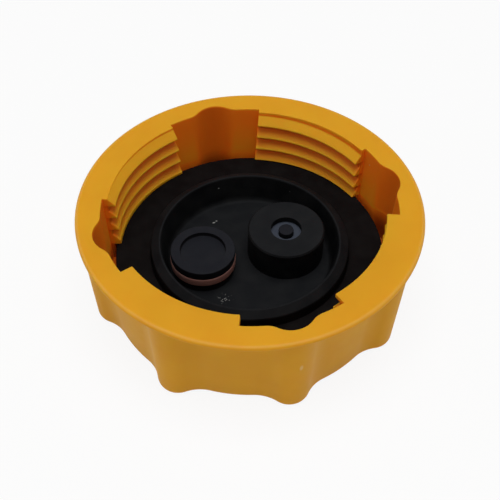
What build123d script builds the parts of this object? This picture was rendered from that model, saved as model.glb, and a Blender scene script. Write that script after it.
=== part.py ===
"""Radiator cap: a moulded screw cap with its valve insert, lying on its closed top.

Sizes are in millimetres. Z points out of the open end and the closed top is on Z = 0.
The pressure valve is on the +X side of the insert and the vacuum valve on the -X side.
"""

import os
from math import acos, atan2, cos, degrees, hypot, radians, sin, tan

from build123d import *

os.makedirs("parts", exist_ok=True)

# Valve carrier: a flange, a ring wall and a sunk cup that holds the two valves.
cup_side_room = 0.6
valve_room = 3.85
housing_side_room = 1.75
cup_draft = 1.45
cup_depth = 7.7
cup_foot_round = 1.6
floor_thickness = 2.0
ring_wall = 2.5
ring_height = 6.7
ring_bevel_drop = 1.5
ring_edge_round = 0.4
flange_thickness = 2.1

# Fits between the pieces.
turn_clearance = 0.3
lip_clearance = 0.2
shelf_clearance = 0.1
slide_clearance = 0.06

# Gasket, and the neck that presses on it.
gasket_thickness = 2.5
gasket_edge_inset = 0.2
gasket_ring_clearance = 0.15
neck_space = 8.25

# Pressure valve: port, seat ring, seal, poppet and spring.
port_radius = 3.9
port_to_seat_ring = 0.6
seat_ring_width = 0.8
seat_ring_height = 0.3
pressure_travel = 1.5
pressure_end_room = 0.7
seal_margin = 1.5
poppet_seal_thickness = 1.5
poppet_rim_wall = 0.6
poppet_rim_height = 0.7
poppet_disc_thickness = 1.4
poppet_pin_radius = 1.9
poppet_pin_below_top = 0.3
poppet_boss_radius = 4.3
poppet_boss_height = 1.2
poppet_stem_radius = 1.6
poppet_stem_overlap = 0.9
pressure_wire = 0.9
pressure_boss_room = 0.65
pressure_spring_turns = 3
spring_seat_thickness = 1.2
spring_seat_collar_wall = 1.24
spring_seat_collar_height = 0.9
spring_seat_holes = 6
spring_seat_hole_radius = 0.7
spring_seat_hole_margin = 0.1
spring_seat_notches = 6
spring_seat_notch_radius = 1.3

# Pressure valve housing: a tall cylinder round the poppet.
housing_flow_room = 0.8
housing_wall = 1.5
housing_height = 8.4
housing_top_wall = 1.5
housing_edge_chamfer = 0.35
seat_groove_depth = 0.4
seat_bead_depth = 0.1
seat_bead_length = 0.4

# Vacuum valve: stem, holes round it, boss, seal and plate, spring, washer and clip.
vacuum_travel = 1.2
vacuum_stem_radius = 1.5
vacuum_stem_room = 0.9
vacuum_guide_wall = 1.44
vacuum_holes = 6
vacuum_hole_radius = 0.75
vacuum_pocket_margin = 0.1
vacuum_web = 2.2
vacuum_boss_wall = 3.2
vacuum_boss_height = 2.3
vacuum_seal_overhang = 0.4
vacuum_seal_thickness = 2.3
vacuum_plate_inset = 0.1
vacuum_plate_thickness = 2.3
vacuum_recess_rim = 2.35
vacuum_recess_depth = 1.2
vacuum_edge_round = 0.3
vacuum_clip_groove_depth = 0.4
vacuum_clip_thickness = 0.6
vacuum_clip_reach = 1.3
vacuum_clip_above_end = 0.5
vacuum_washer_thickness = 0.6
vacuum_washer_margin = 0.65
vacuum_wire = 0.6
vacuum_coil_room = 0.85
vacuum_spring_turns = 2.5
vacuum_spring_closed = 2.3

# Shell, inside: thread blocks between drafted gaps, a shelf for the insert, a chamber behind it.
closed_wall = 4.0
block_count = 4
thread_pitch = 4.0
thread_length = 15.3
thread_depth = 1.8
thread_start_rise = 1.8
thread_overcut = 0.2
crest_flat = 0.35
load_flank_angle = 3.0
lead_flank_angle = 47.0
lip_hold = 0.9
shelf_width = 2.1
gap_angle = 39.0
gap_behind_root = 1.3
gap_draft = 3.0
vent_depth = 2.3
vent_crest_round = 6.0
vent_foot_round = 5.0
vent_floor_rise = 1.0

# Shell, outside: a round rim band over rounded grip lobes that grow deeper towards the top.
rim_wall = 3.8
rim_band = 1.3
rim_edge_round = 0.6
band_edge_round = 0.3
closed_edge_round = 2.0
lobe_count = 8
rim_lobe_inset = 0.65
rim_lobe_depth = 3.15
rim_crest_round = 6.0
rim_foot_round = 10.0
lobe_draft = 1.75
lobe_depth = 4.0
lobe_crest_round = 5.0
lobe_foot_round = 9.1

# Radii that the sizes above set, from the valves outwards.
seat_ring_inner = port_radius + port_to_seat_ring
seat_ring_outer = seat_ring_inner + seat_ring_width
poppet_seal_radius = seat_ring_outer + seal_margin
poppet_rim_radius = poppet_seal_radius + poppet_rim_wall
housing_bore_radius = poppet_rim_radius + housing_flow_room
housing_radius = housing_bore_radius + housing_wall
spring_seat_radius = housing_bore_radius + seat_groove_depth
pressure_spring_radius = poppet_boss_radius + pressure_boss_room + pressure_wire / 2
spring_seat_bore = poppet_stem_radius + slide_clearance
spring_seat_collar_radius = spring_seat_bore + spring_seat_collar_wall
spring_seat_hole_circle = (
    spring_seat_collar_radius + spring_seat_hole_margin + spring_seat_hole_radius
)

vacuum_guide_radius = vacuum_stem_radius + slide_clearance
vacuum_hole_circle = vacuum_guide_radius + vacuum_guide_wall + vacuum_hole_radius
vacuum_pocket_radius = vacuum_hole_circle + vacuum_hole_radius + vacuum_pocket_margin
vacuum_boss_radius = vacuum_pocket_radius + vacuum_boss_wall
vacuum_seal_radius = vacuum_boss_radius + vacuum_seal_overhang
vacuum_plate_radius = vacuum_seal_radius - vacuum_plate_inset
vacuum_recess_radius = vacuum_plate_radius - vacuum_recess_rim
vacuum_spring_radius = vacuum_stem_radius + vacuum_coil_room + vacuum_wire / 2
vacuum_washer_radius = vacuum_spring_radius + vacuum_wire / 2 + vacuum_washer_margin
vacuum_clip_radius = vacuum_stem_radius + vacuum_clip_reach

cup_floor_width = (
    housing_side_room
    + 2 * housing_radius
    + valve_room
    + 2 * vacuum_seal_radius
    + cup_side_room
)
cup_floor_radius = cup_floor_width / 2
pressure_offset = cup_floor_radius - housing_side_room - housing_radius
vacuum_offset = cup_floor_radius - cup_side_room - vacuum_seal_radius
ring_mouth_radius = cup_floor_radius + cup_draft
ring_radius = ring_mouth_radius + ring_wall
thread_crest_radius = ring_radius + neck_space
thread_root_radius = thread_crest_radius + thread_depth
flange_radius = thread_crest_radius + lip_hold
block_bore_radius = flange_radius + turn_clearance
chamber_radius = flange_radius - shelf_width
gap_radius = thread_root_radius + gap_behind_root
vent_crest_radius = gap_radius + vent_depth
rim_radius = vent_crest_radius + rim_wall
rim_crest_radius = rim_radius - rim_lobe_inset
lobe_crest_radius = rim_crest_radius - lobe_draft

# Levels that the sizes above set, from the closed top up.
vacuum_stem_bottom = closed_wall + vacuum_stem_room
clip_bottom = vacuum_stem_bottom + vacuum_clip_above_end
clip_top = clip_bottom + vacuum_clip_thickness
washer_top = clip_top + vacuum_washer_thickness
web_underside = washer_top + vacuum_spring_closed + vacuum_travel
boss_top = web_underside + vacuum_web
vacuum_seal_top = boss_top + vacuum_seal_thickness
vacuum_plate_top = vacuum_seal_top + vacuum_plate_thickness

cup_floor = boss_top - vacuum_boss_height
cup_underside = cup_floor - floor_thickness
ring_top = cup_floor + cup_depth
flange_top = ring_top - ring_height
flange_bottom = flange_top - flange_thickness
shelf_level = flange_bottom - shelf_clearance
gasket_top = flange_top + gasket_thickness
lip_level = gasket_top + lip_clearance
cap_height = lip_level + thread_length
vent_floor_level = closed_wall + vent_floor_rise

housing_top = cup_floor + housing_height
seal_top = housing_top - housing_top_wall - seat_ring_height
poppet_disc_top = seal_top - poppet_seal_thickness
poppet_disc_bottom = poppet_disc_top - poppet_disc_thickness
poppet_stem_bottom = closed_wall + pressure_end_room + pressure_travel
spring_seat_top = poppet_stem_bottom + poppet_stem_overlap
spring_seat_bottom = spring_seat_top - spring_seat_thickness
housing_end = spring_seat_bottom - seat_bead_length

cap_axis = Location()
pressure_axis = Location((pressure_offset, 0, 0))
vacuum_axis = Location((-vacuum_offset, 0, 0))


def polar(radius, angle):
    """A point in the sketch plane, from its radius and its angle in degrees."""
    return Vector(radius * cos(radians(angle)), radius * sin(radians(angle)))


def lobe_half(crest, trough, crest_round, foot_round):
    """Radius and angle of three points on one side of a lobe whose arcs run smoothly together.

    They are the point where the crest's arc meets the foot's, the middle of the foot's arc,
    and its end on the trough circle.
    """
    crest_centre = crest - crest_round
    foot_centre = trough + foot_round
    span = crest_round + foot_round
    cosine = (crest_centre**2 + foot_centre**2 - span**2) / (2 * crest_centre * foot_centre)
    half_angle = degrees(acos(cosine))
    centre = polar(foot_centre, half_angle)
    meet = Vector(crest_centre, 0) + (centre - Vector(crest_centre, 0)) * (crest_round / span)
    end = polar(trough, half_angle)
    middle = centre + ((meet + end) * 0.5 - centre).normalized() * foot_round
    return [(hypot(p.X, p.Y), degrees(atan2(p.Y, p.X))) for p in (meet, middle, end)]


def lobed_ring(crest, depth, crest_round, foot_round):
    """Draw the closed outline of all lobes, four arcs to each."""
    meet, middle, end = lobe_half(crest, crest - depth, crest_round, foot_round)
    step = 360 / lobe_count
    lobe = [
        (meet[0], -meet[1]),
        (crest, 0),
        meet,
        middle,
        end,
        (crest - depth, step / 2),
        (end[0], step - end[1]),
        (middle[0], step - middle[1]),
    ]
    points = [
        polar(radius, angle + step * index) for index in range(lobe_count) for radius, angle in lobe
    ]
    for start in range(0, len(points), 2):
        ThreePointArc(points[start], points[start + 1], points[(start + 2) % len(points)])


def bar(place, radius, bottom, top, mode=Mode.SUBTRACT):
    """A round bar, or by default a bore, between two levels on the axis of the given place."""
    with Locations(place * Location((0, 0, bottom))):
        Cylinder(
            radius,
            top - bottom,
            align=(Align.CENTER, Align.CENTER, Align.MIN),
            mode=mode,
        )


# The space between one thread crest and the next, swept down the blocks as a right-hand helix.
# It starts above the rim, so that the thread runs in from the rim over its first turn.
lead_slope = tan(radians(lead_flank_angle))
flank_drop = thread_depth * tan(radians(load_flank_angle))
groove_floor_low = crest_flat + thread_depth * lead_slope - thread_pitch
groove_mouth_radius = thread_crest_radius - thread_overcut
groove_mouth_low = groove_floor_low - (thread_depth + thread_overcut) * lead_slope
thread_turns = int((thread_length + thread_start_rise) / thread_pitch)
helix_height = thread_pitch * thread_turns
helix_bottom = cap_height + thread_start_rise - helix_height

with BuildPart() as thread_groove:
    with BuildLine() as thread_path:
        Helix(
            pitch=thread_pitch,
            height=helix_height,
            radius=(thread_crest_radius + thread_root_radius) / 2,
            center=(0, 0, helix_bottom),
        )
    with BuildSketch(Plane.XZ) as groove_section:
        with BuildLine():
            Polyline(
                (groove_mouth_radius, helix_bottom),
                (thread_root_radius, helix_bottom - flank_drop),
                (thread_root_radius, helix_bottom + groove_floor_low),
                (groove_mouth_radius, helix_bottom + groove_mouth_low),
                close=True,
            )
        make_face()
    sweep(path=thread_path.line, is_frenet=True)
    # The last crest is a lip that holds the insert's flange in, so the groove ends above it.
    lip_edge = lip_level + crest_flat
    cone_radius = thread_root_radius + 1
    cone_level = lip_edge + (cone_radius - thread_crest_radius) * lead_slope
    with BuildSketch(Plane.XZ):
        with BuildLine():
            Polyline(
                (groove_mouth_radius - 1, lip_edge),
                (thread_crest_radius, lip_edge),
                (cone_radius, cone_level),
                (cone_radius, cap_height),
                (groove_mouth_radius - 1, cap_height),
                close=True,
            )
        make_face()
    revolve(axis=Axis.Z, mode=Mode.INTERSECT)
groove = thread_groove.part.rotate(Axis.Z, 180)

# One gap between two thread blocks, at the rim.
with BuildSketch() as gap_outline:
    with BuildLine():
        wall_right = polar(gap_radius, -gap_angle / 2)
        wall_left = polar(gap_radius, gap_angle / 2)
        mouth_right = polar(chamber_radius - 2, -gap_angle / 2)
        mouth_left = polar(chamber_radius - 2, gap_angle / 2)
        ThreePointArc(wall_right, polar(gap_radius, 0), wall_left)
        Line(wall_left, mouth_left)
        Line(mouth_left, mouth_right)
        Line(mouth_right, wall_right)
    make_face()

# The vent behind a gap, which swells into the lobe with the same run of arcs as the lobe.
meet, middle, end = lobe_half(vent_crest_radius, gap_radius, vent_crest_round, vent_foot_round)
with BuildSketch() as vent_outline:
    with BuildLine():
        foot_left = polar(*end)
        foot_right = polar(end[0], -end[1])
        crest_left = polar(*meet)
        crest_right = polar(meet[0], -meet[1])
        ThreePointArc(foot_right, polar(middle[0], -middle[1]), crest_right)
        ThreePointArc(crest_right, polar(vent_crest_radius, 0), crest_left)
        ThreePointArc(crest_left, polar(*middle), foot_left)
        Line(foot_left, polar(chamber_radius - 2, end[1]))
        Line(polar(chamber_radius - 2, end[1]), polar(chamber_radius - 2, -end[1]))
        Line(polar(chamber_radius - 2, -end[1]), foot_right)
    make_face()

with BuildPart() as cap_shell:
    # Outside: drafted lobes from the closed top to the rim, and the round band over them.
    with BuildSketch():
        with BuildLine():
            lobed_ring(lobe_crest_radius, lobe_depth, lobe_crest_round, lobe_foot_round)
        make_face()
    with BuildSketch(Plane.XY.offset(cap_height)):
        with BuildLine():
            lobed_ring(rim_crest_radius, rim_lobe_depth, rim_crest_round, rim_foot_round)
        make_face()
    loft(ruled=True)
    fillet(cap_shell.edges().group_by(Axis.Z)[0], closed_edge_round)
    bar(cap_axis, rim_radius, cap_height - rim_band, cap_height, Mode.ADD)
    fillet(cap_shell.edges().group_by(Axis.Z)[-1], rim_edge_round)
    circles = cap_shell.edges().filter_by(GeomType.CIRCLE)
    band_edge = circles.filter_by(lambda edge: abs(edge.radius - rim_radius) < 0.01)
    fillet(band_edge.group_by(Axis.Z)[0], band_edge_round)

    # Inside: the bore at the thread crests, the seat of the flange, and the chamber.
    bar(cap_axis, thread_crest_radius, lip_level, cap_height)
    bar(cap_axis, block_bore_radius, shelf_level, lip_level)
    bar(cap_axis, chamber_radius, closed_wall, shelf_level)
    add(groove, mode=Mode.SUBTRACT)

    # Four gaps between the thread blocks run from the rim down to the shelf and narrow on the
    # way. The vent behind each gap runs on past the shelf to the chamber.
    with BuildSketch(Plane.XY.offset(cap_height)):
        with PolarLocations(0, block_count):
            add(gap_outline.sketch)
    extrude(amount=shelf_level - cap_height, taper=gap_draft, mode=Mode.SUBTRACT)
    with BuildSketch(Plane.XY.offset(cap_height)):
        with PolarLocations(0, block_count):
            add(vent_outline.sketch)
    extrude(amount=vent_floor_level - cap_height, taper=gap_draft, mode=Mode.SUBTRACT)
cap_shell.part.label = "cap_shell"
export_step(cap_shell.part, "parts/cap_shell.step")

with BuildPart() as neck_gasket:
    with BuildSketch(Plane.XY.offset(flange_top)):
        Circle(flange_radius - gasket_edge_inset)
        Circle(ring_radius + gasket_ring_clearance, mode=Mode.SUBTRACT)
    extrude(amount=gasket_thickness)
neck_gasket.part.label = "neck_gasket"
export_step(neck_gasket.part, "parts/neck_gasket.step")

with BuildPart() as valve_carrier:
    # Flange, ring wall and sunk cup, turned about the cap's axis.
    with BuildSketch(Plane.XZ):
        with BuildLine():
            Polyline(
                (0, cup_underside),
                (cup_floor_radius + floor_thickness, cup_underside),
                (ring_radius, flange_bottom),
                (flange_radius, flange_bottom),
                (flange_radius, flange_top),
                (ring_radius, flange_top),
                (ring_radius, ring_top - ring_bevel_drop),
                (ring_mouth_radius, ring_top),
                (cup_floor_radius, cup_floor),
                (0, cup_floor),
                close=True,
            )
        make_face()
    revolve(axis=Axis.Z)
    circles = valve_carrier.edges().filter_by(GeomType.CIRCLE)
    fillet(circles.filter_by_position(Axis.Z, cup_floor, cup_floor), cup_foot_round)
    circles = valve_carrier.edges().filter_by(GeomType.CIRCLE)
    bevel_edges = circles.filter_by_position(Axis.Z, ring_top - ring_bevel_drop, ring_top)
    fillet(bevel_edges, ring_edge_round)

    # Pressure valve housing: a tall cylinder, closed at the top but for its port.
    bar(pressure_axis, housing_radius, housing_end, housing_top, Mode.ADD)
    rim_edges = valve_carrier.edges().filter_by_position(Axis.Z, housing_top, housing_top)
    chamfer(rim_edges, housing_edge_chamfer)
    bore_top = housing_top - housing_top_wall
    bar(pressure_axis, housing_bore_radius, spring_seat_top, bore_top)
    bar(pressure_axis, spring_seat_radius, spring_seat_bottom, spring_seat_top)
    bar(pressure_axis, spring_seat_radius - seat_bead_depth, housing_end, spring_seat_bottom)
    bar(pressure_axis, seat_ring_outer, seal_top, bore_top, Mode.ADD)
    bar(pressure_axis, seat_ring_inner, seal_top, bore_top)
    bar(pressure_axis, port_radius, bore_top, housing_top)

    # Vacuum valve boss: a low cylinder with a guide hole and a ring of air holes in its web.
    bar(vacuum_axis, vacuum_boss_radius, cup_floor, boss_top, Mode.ADD)
    bar(vacuum_axis, vacuum_pocket_radius, cup_underside, web_underside)
    with BuildSketch(Plane.XY.offset(web_underside)):
        with Locations(vacuum_axis):
            Circle(vacuum_guide_radius)
            with PolarLocations(vacuum_hole_circle, vacuum_holes):
                Circle(vacuum_hole_radius)
    extrude(amount=vacuum_web, mode=Mode.SUBTRACT)
valve_carrier.part.label = "valve_carrier"
export_step(valve_carrier.part, "parts/valve_carrier.step")

with BuildPart() as pressure_poppet:
    with BuildSketch(Plane.XZ):
        with BuildLine():
            pin_top = housing_top - poppet_pin_below_top
            boss_bottom = poppet_disc_bottom - poppet_boss_height
            Polyline(
                (0, poppet_stem_bottom),
                (poppet_stem_radius, poppet_stem_bottom),
                (poppet_stem_radius, boss_bottom),
                (poppet_boss_radius, boss_bottom),
                (poppet_boss_radius, poppet_disc_bottom),
                (poppet_rim_radius, poppet_disc_bottom),
                (poppet_rim_radius, poppet_disc_top + poppet_rim_height),
                (poppet_seal_radius, poppet_disc_top + poppet_rim_height),
                (poppet_seal_radius, poppet_disc_top),
                (poppet_pin_radius, poppet_disc_top),
                (poppet_pin_radius, pin_top),
                (0, pin_top),
                close=True,
            )
        make_face()
    revolve(axis=Axis.Z)
    pin_edge = pressure_poppet.edges().filter_by_position(Axis.Z, pin_top, pin_top)
    chamfer(pin_edge, poppet_pin_radius / 7)
poppet_solid = pressure_poppet.part.moved(pressure_axis)
poppet_solid.label = "pressure_poppet"
export_step(poppet_solid, "parts/pressure_poppet.step")

with BuildPart() as pressure_seal:
    with BuildSketch(Plane.XY.offset(poppet_disc_top)):
        with Locations(pressure_axis):
            Circle(poppet_seal_radius)
            Circle(poppet_pin_radius, mode=Mode.SUBTRACT)
    extrude(amount=poppet_seal_thickness)
pressure_seal.part.label = "pressure_seal"
export_step(pressure_seal.part, "parts/pressure_seal.step")

with BuildPart() as pressure_spring_seat:
    bar(pressure_axis, spring_seat_radius, spring_seat_bottom, spring_seat_top, Mode.ADD)
    collar_top = spring_seat_top + spring_seat_collar_height
    bar(pressure_axis, spring_seat_collar_radius, spring_seat_top, collar_top, Mode.ADD)
    with BuildSketch(Plane.XY.offset(spring_seat_bottom)):
        with Locations(pressure_axis):
            Circle(spring_seat_bore)
            with PolarLocations(spring_seat_hole_circle, spring_seat_holes):
                Circle(spring_seat_hole_radius)
            with PolarLocations(spring_seat_radius, spring_seat_notches):
                Circle(spring_seat_notch_radius)
    extrude(amount=spring_seat_thickness + spring_seat_collar_height, mode=Mode.SUBTRACT)
pressure_spring_seat.part.label = "pressure_spring_seat"
export_step(pressure_spring_seat.part, "parts/pressure_spring_seat.step")

with BuildPart() as vacuum_seal:
    with BuildSketch(Plane.XY.offset(boss_top)):
        with Locations(vacuum_axis):
            Circle(vacuum_seal_radius)
            Circle(vacuum_stem_radius, mode=Mode.SUBTRACT)
    extrude(amount=vacuum_seal_thickness)
vacuum_seal.part.label = "vacuum_seal"
export_step(vacuum_seal.part, "parts/vacuum_seal.step")

with BuildPart() as vacuum_poppet:
    with BuildSketch(Plane.XZ):
        with BuildLine():
            groove_radius = vacuum_stem_radius - vacuum_clip_groove_depth
            recess_level = vacuum_plate_top - vacuum_recess_depth
            Polyline(
                (0, vacuum_stem_bottom),
                (vacuum_stem_radius, vacuum_stem_bottom),
                (vacuum_stem_radius, clip_bottom),
                (groove_radius, clip_bottom),
                (groove_radius, clip_top),
                (vacuum_stem_radius, clip_top),
                (vacuum_stem_radius, vacuum_seal_top),
                (vacuum_plate_radius, vacuum_seal_top),
                (vacuum_plate_radius, vacuum_plate_top),
                (vacuum_recess_radius, vacuum_plate_top),
                (vacuum_recess_radius, recess_level),
                (0, recess_level),
                close=True,
            )
        make_face()
    revolve(axis=Axis.Z)
    top_edges = vacuum_poppet.edges().filter_by_position(
        Axis.Z, vacuum_plate_top, vacuum_plate_top
    )
    fillet(top_edges, vacuum_edge_round)
vacuum_solid = vacuum_poppet.part.moved(vacuum_axis)
vacuum_solid.label = "vacuum_poppet"
export_step(vacuum_solid, "parts/vacuum_poppet.step")

with BuildPart() as vacuum_spring_washer:
    with BuildSketch(Plane.XY.offset(clip_top)):
        with Locations(vacuum_axis):
            Circle(vacuum_washer_radius)
            Circle(vacuum_guide_radius, mode=Mode.SUBTRACT)
    extrude(amount=vacuum_washer_thickness)
vacuum_spring_washer.part.label = "vacuum_spring_washer"
export_step(vacuum_spring_washer.part, "parts/vacuum_spring_washer.step")

with BuildPart() as vacuum_clip:
    # An open ring whose mouth slides over the stem's groove.
    with BuildSketch(Plane.XY.offset(clip_bottom)):
        with Locations(vacuum_axis):
            Circle(vacuum_clip_radius)
            Circle(groove_radius, mode=Mode.SUBTRACT)
            with Locations((0, -vacuum_clip_radius)):
                Rectangle(groove_radius * 1.6, vacuum_clip_radius * 2, mode=Mode.SUBTRACT)
    extrude(amount=vacuum_clip_thickness)
vacuum_clip.part.label = "vacuum_clip"
export_step(vacuum_clip.part, "parts/vacuum_clip.step")


def coil_spring(axis, radius, wire, turns, bottom, top):
    """A compression spring whose two ends are ground flat at the given levels."""
    with BuildPart() as spring:
        with BuildLine() as coil:
            Helix(
                pitch=(top - bottom) / turns,
                height=top - bottom,
                radius=radius,
                center=(0, 0, bottom),
            )
        with BuildSketch(Plane(origin=coil.line @ 0, z_dir=coil.line % 0)):
            Circle(wire / 2)
        sweep(path=coil.line, is_frenet=True)
        split(bisect_by=Plane.XY.offset(bottom), keep=Keep.TOP)
        split(bisect_by=Plane.XY.offset(top), keep=Keep.BOTTOM)
    return spring.part.moved(axis)


pressure_spring = coil_spring(
    pressure_axis,
    pressure_spring_radius,
    pressure_wire,
    pressure_spring_turns,
    spring_seat_top,
    poppet_disc_bottom,
)
pressure_spring.label = "pressure_spring"
export_step(pressure_spring, "parts/pressure_spring.step")

vacuum_spring = coil_spring(
    vacuum_axis,
    vacuum_spring_radius,
    vacuum_wire,
    vacuum_spring_turns,
    washer_top,
    web_underside,
)
vacuum_spring.label = "vacuum_spring"
export_step(vacuum_spring, "parts/vacuum_spring.step")
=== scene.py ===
"""Looks of a moulded radiator cap with its valve insert, lying on its closed top.

Everything is in metres, with Z out of the open end and the closed top on Z = 0. The shell, the
seals, the poppets and the springs are surfaces worked out on grids. The rest of the insert keeps
its own solids and gets its finish here.
"""

import bpy
import numpy as np
from bpy.props import FloatProperty, FloatVectorProperty, IntProperty, PointerProperty
from mathutils import Matrix, Vector


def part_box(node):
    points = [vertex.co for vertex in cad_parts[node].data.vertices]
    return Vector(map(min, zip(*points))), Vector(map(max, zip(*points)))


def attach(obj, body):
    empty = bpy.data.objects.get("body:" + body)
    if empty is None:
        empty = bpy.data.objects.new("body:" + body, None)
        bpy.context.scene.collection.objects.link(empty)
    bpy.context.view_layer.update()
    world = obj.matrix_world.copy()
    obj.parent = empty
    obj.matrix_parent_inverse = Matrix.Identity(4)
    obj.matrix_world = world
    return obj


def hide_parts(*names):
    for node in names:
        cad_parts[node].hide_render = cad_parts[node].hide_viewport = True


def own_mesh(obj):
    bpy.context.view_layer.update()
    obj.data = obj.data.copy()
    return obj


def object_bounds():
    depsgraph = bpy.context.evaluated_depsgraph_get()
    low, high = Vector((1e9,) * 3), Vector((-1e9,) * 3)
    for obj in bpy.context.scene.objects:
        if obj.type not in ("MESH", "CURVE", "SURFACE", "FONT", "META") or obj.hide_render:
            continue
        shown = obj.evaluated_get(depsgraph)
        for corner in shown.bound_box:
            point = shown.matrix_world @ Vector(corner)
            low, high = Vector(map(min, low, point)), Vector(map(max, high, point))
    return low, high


bl_info = {
    "name": "Radiator cap",
    "version": (1, 0, 0),
    "blender": (4, 5, 0),
    "location": "3D View > Sidebar > Radiator cap",
    "description": "Builds the shell, seals, valves, finishes and stage of a radiator cap",
    "category": "Add Mesh",
}

MM = 0.001
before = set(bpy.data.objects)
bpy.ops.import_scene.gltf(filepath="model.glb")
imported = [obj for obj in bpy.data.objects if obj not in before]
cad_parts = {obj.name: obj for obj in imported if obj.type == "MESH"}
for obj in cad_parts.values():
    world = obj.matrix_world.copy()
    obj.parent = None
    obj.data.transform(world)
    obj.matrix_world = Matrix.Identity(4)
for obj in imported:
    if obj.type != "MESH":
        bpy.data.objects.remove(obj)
FRAME_LOW, FRAME_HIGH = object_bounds()
RIM_RADIUS = FRAME_HIGH.x
CAP_HEIGHT = FRAME_HIGH.z
GASKET_LOW, GASKET_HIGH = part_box("neck_gasket")
PRESSURE_LOW, PRESSURE_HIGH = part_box("pressure_poppet")
SEAL_LOW, SEAL_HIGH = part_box("pressure_seal")
VACUUM_LOW, VACUUM_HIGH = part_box("vacuum_poppet")
RING_LOW, RING_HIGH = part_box("vacuum_seal")

# The shell has four thread blocks, with a gap and its vent between each two.
BLOCKS = 4
# Columns over half a vent, half a gap's floor, an upright edge and half a block.
VENT_COLUMNS, FLOOR_COLUMNS, EDGE_COLUMNS, BLOCK_COLUMNS = 16, 9, 5, 27
# Rows round an edge and up the skirt, and where rows lie between the flat rim's two edges.
EDGE_ROWS, SKIRT_ROWS, RIM_SHARES = 8, 12, (0.04, 0.5, 0.96)
# From the end of a vent's foot to the first column on the gap's floor.
FOOT_STEP = np.radians(0.15)
# How near points of a profile, levels, and points of a mesh have to be to count as one.
SAME_POINT, SAME_LEVEL, WELD_REACH = 0.0001 * MM, 0.001 * MM, 0.002 * MM
# Faces that meet at more than this keep their edge sharp.
SHARP_ANGLE = np.radians(50)
# Rounding of the valves' finest edges.
SMALL_EDGE = 0.12 * MM
WHITE = (1.0, 1.0, 1.0, 1.0)


def linear(colour):
    """The scene-linear colour of an sRGB hex value: the standard curve undone in each channel."""
    srgb = np.array([int(colour[place : place + 2], 16) for place in (0, 2, 4)]) / 255
    value = np.where(srgb <= 0.04045, srgb / 12.92, ((srgb + 0.055) / 1.055) ** 2.4)
    return (*value.tolist(), 1.0)


def length(label, text, millimetres):
    """A length property with its default in metres."""
    return FloatProperty(name=label, description=text, default=millimetres * MM, unit="LENGTH")


def degrees(label, text, value):
    """An angle property with its default given in degrees."""
    return FloatProperty(name=label, description=text, default=np.radians(value), subtype="ANGLE")


def colour(label, text, value):
    """A colour property with its default given as an sRGB hex value."""
    return FloatVectorProperty(
        name=label, description=text, default=linear(value), size=4, subtype="COLOR"
    )


class RadiatorCapShell(bpy.types.PropertyGroup):
    """Sizes and colours of the moulded shell."""

    height: length("Height", "From the closed top to the rim", CAP_HEIGHT / MM)
    rim_radius: length("Rim radius", "Radius of the round rim", RIM_RADIUS / MM)
    band: length("Rim band", "Height of the round band over the lobes", 1.3)
    rim_edge: length("Rim edge", "Rounding of the rim's outer edge", 0.75)
    band_edge: length("Band edge", "Rounding of the band's lower edge", 0.3)
    base_edge: length("Base edge", "Rounding of the edge round the closed top", 2.0)
    inner_edge: length("Inner edge", "Rounding of the rim's inner edge", 0.22)
    block_edge: length("Block edge", "Rounding of the upright ends of the thread blocks", 0.3)
    lobes: IntProperty(name="Lobes", description="Number of grip lobes", default=8, min=3)
    rim_crest: length("Lobe radius at the rim", "Reach of the lobes under the band", 41.75)
    rim_depth: length("Lobe depth at the rim", "From a crest in to a trough", 3.15)
    rim_crest_round: length("Crest round at the rim", "Rounding of each crest", 6.0)
    rim_foot_round: length("Foot round at the rim", "Rounding of each foot", 10.0)
    base_crest: length("Lobe radius at the base", "Reach of the lobes at the closed top", 40.0)
    base_depth: length("Lobe depth at the base", "From a crest in to a trough", 4.0)
    base_crest_round: length("Crest round at the base", "Rounding of each crest", 5.0)
    base_foot_round: length("Foot round at the base", "Rounding of each foot", 9.1)
    crest_radius: length("Thread crest", "Radius at the thread's crests", 33.2)
    root_radius: length("Thread root", "Radius at the thread's roots", 35.0)
    pitch: length("Thread pitch", "From one crest to the next", 4.0)
    first_crest: length("First crest", "Lower edge of the first crest below the rim", 4.2)
    crest_flat: length("Crest flat", "Width of the flat on a crest", 0.35)
    load_drop: length("Load flank drop", "Fall of the flat flank from crest to root", 0.094)
    root_low: length("Root end", "Lower end of the root below the crest edge", 1.72)
    lip: length("Lip", "Level of the lip that holds the insert in", 13.7)
    block_bore: length("Block bore", "Radius of the bore behind the lip", 34.4)
    shelf: length("Shelf", "Level of the shelf under the insert", 8.8)
    chamber: length("Chamber radius", "Radius of the space behind the insert", 32.0)
    vent_floor: length("Vent floor", "Level of the floor of a vent", 5.0)
    closed_wall: length("Closed wall", "Thickness of the closed top", 4.0)
    gap_radius: length("Gap radius", "Radius of the gaps between the blocks", 36.3)
    vent_crest: length("Vent radius", "Reach of the vent behind each gap", 38.6)
    vent_crest_round: length("Vent crest round", "Rounding of a vent's crest", 6.0)
    vent_foot_round: length("Vent foot round", "Rounding of a vent's foot", 5.0)
    gap_angle: degrees("Gap", "Width of each gap", 39)
    gap_draft: degrees("Gap draft", "Draft of the gap walls", 3)
    thread_draft: degrees("Thread draft", "Draft of the faces of the thread blocks", 1.6)
    body_colour: colour("Body", "Yellow of the moulded plastic", "E1A21E")
    flow_colour: colour("Flow marks", "Deeper yellow that drifts through it", "DD9C1B")
    # Painted light and shade: the next three colours are painted into the shell's gaps, grooves and
    # vent floors as bounce light and shade.
    hollow_colour: colour("Gap walls", "Orange that light takes on in the gaps", "F07E18")
    deep_shade_colour: colour("Grooves", "Red orange of the deepest hollows", "DA6812")
    floor_colour: colour("Vent floors", "Dark brown of the shade under the insert", "7A300A")
    # Also the colour of the painted highlight on the rim's outer edge.
    scuff_and_highlight_colour: colour("Scuffs", "Pale marks where it was rubbed", "E6C58A")


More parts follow.
